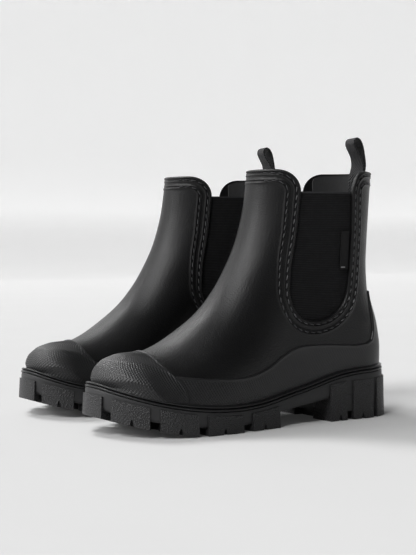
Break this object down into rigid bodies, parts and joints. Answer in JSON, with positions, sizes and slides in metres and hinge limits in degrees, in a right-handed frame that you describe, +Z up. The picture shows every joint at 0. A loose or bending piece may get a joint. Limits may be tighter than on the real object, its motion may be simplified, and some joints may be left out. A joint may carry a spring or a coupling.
{
  "type": "rubber rain boot pair",
  "caption": "Ankle-high rubber rain boots, a left and a right, with elastic side gores, pull loops and thick lugged soles.",
  "frame": {"origin": "on the ground, in the middle of the pair's bounding box", "axes": "+Z up, -X towards the toes, the left boot on the -Y side and the right boot on the +Y side"},
  "size_m": [0.275, 0.2354, 0.2344],
  "materials": {
    "matte_rubber": "matte moulded rubber",
    "textured_rubber": "hatched and knurled moulded rubber",
    "moulded_sole_rubber": "satin moulded rubber with stippled lugs",
    "ribbed_elastic": "ribbed woven elastic",
    "lining_textile": "knitted lining",
    "footbed_textile": "textile-faced foam",
    "twill_webbing": "twill webbing",
    "woven_label": "woven tape, blank",
    "fibre_board": "cellulose fibre board",
    "sole_foam": "expanded foam",
    "spring_steel": "rolled strip"
  },
  "bodies": {
    "left_boot": {"left_outsole": "moulded_sole_rubber", "left_welt": "moulded_sole_rubber", "left_filler": "sole_foam", "left_shank": "spring_steel", "left_insole_board": "fibre_board", "left_footbed": "footbed_textile", "left_upper": "matte_rubber", "left_lining": "lining_textile", "left_gore_outer": "ribbed_elastic", "left_gore_inner": "ribbed_elastic", "left_toe_cap": "textured_rubber", "left_foxing": "textured_rubber", "left_loop_anchor": "twill_webbing"},
    "left_loop": {"left_pull_loop": "twill_webbing"},
    "left_label": {"left_label": "woven_label"},
    "right_boot": {"right_outsole": "moulded_sole_rubber", "right_welt": "moulded_sole_rubber", "right_filler": "sole_foam", "right_shank": "spring_steel", "right_insole_board": "fibre_board", "right_footbed": "footbed_textile", "right_upper": "matte_rubber", "right_lining": "lining_textile", "right_gore_outer": "ribbed_elastic", "right_gore_inner": "ribbed_elastic", "right_toe_cap": "textured_rubber", "right_foxing": "textured_rubber", "right_loop_anchor": "twill_webbing"},
    "right_loop": {"right_pull_loop": "twill_webbing"},
    "right_label": {"right_label": "woven_label"}
  },
  "joints": [
    {"name": "left_loop_fold", "type": "hinge", "parent": "left_boot", "child": "left_loop", "pos_m": [0.1172, -0.067, 0.2042], "axis": [0, 1, 0], "range_deg": [-80, 40], "stiffness_Nm_per_rad": 0.004},
    {"name": "left_label_flip", "type": "hinge", "parent": "left_boot", "child": "left_label", "pos_m": [0.08355, -0.0993, 0.1395], "axis": [0, -0.0612, 0.9981], "range_deg": [0, 70], "stiffness_Nm_per_rad": 0.00005},
    {"name": "right_loop_fold", "type": "hinge", "parent": "right_boot", "child": "right_loop", "pos_m": [0.1172, 0.067, 0.2042], "axis": [0, 1, 0], "range_deg": [-80, 40], "stiffness_Nm_per_rad": 0.004},
    {"name": "right_label_flip", "type": "hinge", "parent": "right_boot", "child": "right_label", "pos_m": [0.08355, 0.0993, 0.1395], "axis": [0, -0.0612, -0.9981], "range_deg": [0, 70], "stiffness_Nm_per_rad": 0.00005},
    {"name": "right_boot_lift", "type": "slide", "parent": "left_boot", "child": "right_boot", "axis": [0, 0, 1], "range_m": [0, 0.3]}
  ]
}
